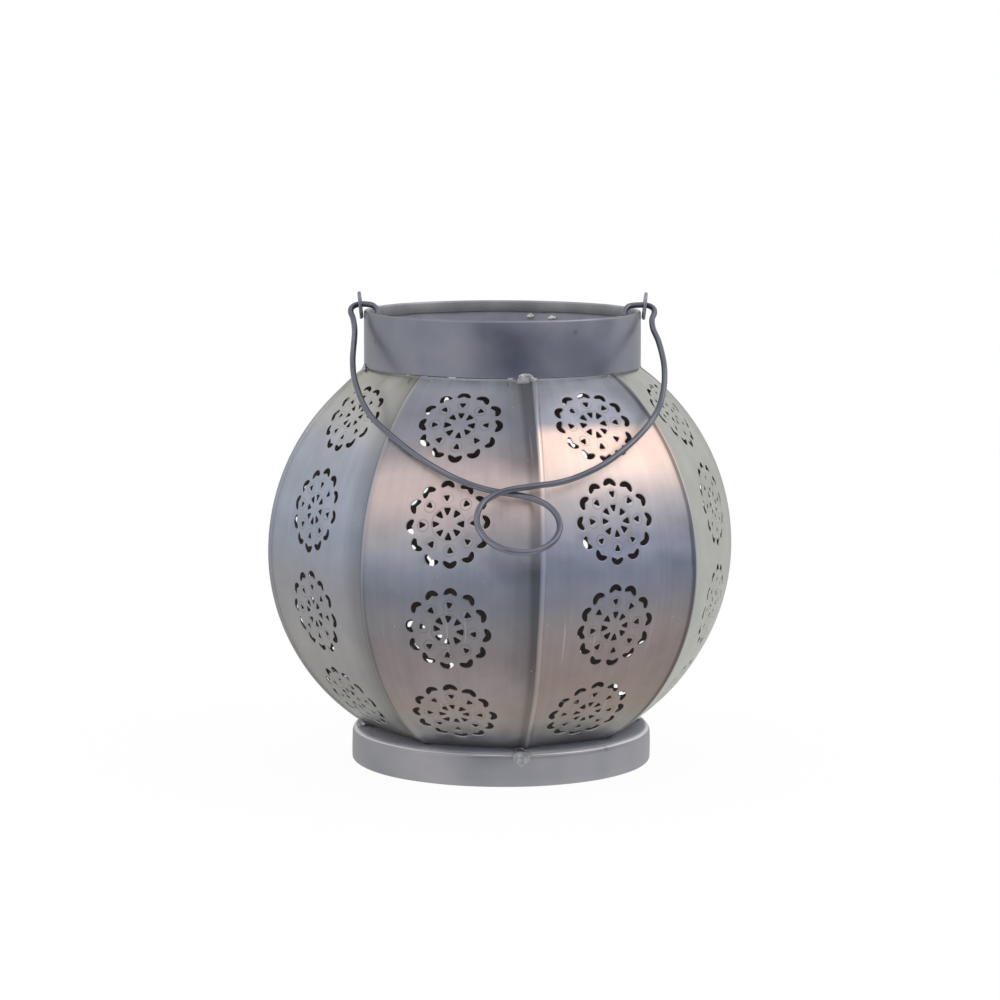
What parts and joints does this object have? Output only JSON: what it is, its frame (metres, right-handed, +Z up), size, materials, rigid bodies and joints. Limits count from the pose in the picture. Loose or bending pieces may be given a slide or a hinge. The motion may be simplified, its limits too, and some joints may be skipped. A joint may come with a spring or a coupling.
{
  "type": "iron lantern",
  "caption": "Round candle lantern of pierced iron gores with ribbed seams, on a shallow base pan, with a plain collar and a swinging wire bail that has a twisted hanging loop.",
  "frame": {"origin": "centre of the candle floor, the flat top of the base pan inside the globe", "axes": "+Z up along the globe's axis, -Y to the front where the bail hangs forward, +X to the right along the bail's hinge axis"},
  "size_m": [0.222, 0.2543, 0.2214],
  "materials": {
    "globe_sheet": "bare rolled iron sheet with a satin skin and soft blue, straw and brown heat tints",
    "plain_sheet": "bare rolled iron sheet, satin grey",
    "drawn_wire": "bare drawn iron wire, dull grey",
    "weld_metal": "pale grey weld metal left as it ran"
  },
  "bodies": {
    "lantern": {"base_pan": "plain_sheet", "collar": "plain_sheet", "gore_panel_1": "globe_sheet", "gore_panel_2": "globe_sheet", "gore_panel_3": "globe_sheet", "gore_panel_4": "globe_sheet", "gore_panel_5": "globe_sheet", "gore_panel_6": "globe_sheet", "gore_panel_7": "globe_sheet", "gore_panel_8": "globe_sheet", "seam_rib_1": "globe_sheet", "seam_rib_2": "globe_sheet", "seam_rib_3": "globe_sheet", "seam_rib_4": "globe_sheet", "seam_rib_5": "globe_sheet", "seam_rib_6": "globe_sheet", "seam_rib_7": "globe_sheet", "seam_rib_8": "globe_sheet", "weld_top_1": "weld_metal", "weld_top_2": "weld_metal", "weld_top_3": "weld_metal", "weld_top_4": "weld_metal", "weld_bottom_1": "weld_metal", "weld_bottom_2": "weld_metal", "weld_bottom_3": "weld_metal", "weld_bottom_4": "weld_metal", "ear_left": "plain_sheet", "ear_right": "plain_sheet"},
    "bail": {"bail_handle": "drawn_wire"}
  },
  "joints": [
    {"name": "bail_swing", "type": "hinge", "parent": "lantern", "child": "bail", "pos_m": [0, 0, 0.1994], "axis": [-1, 0, 0], "range_deg": [0, 248]}
  ]
}
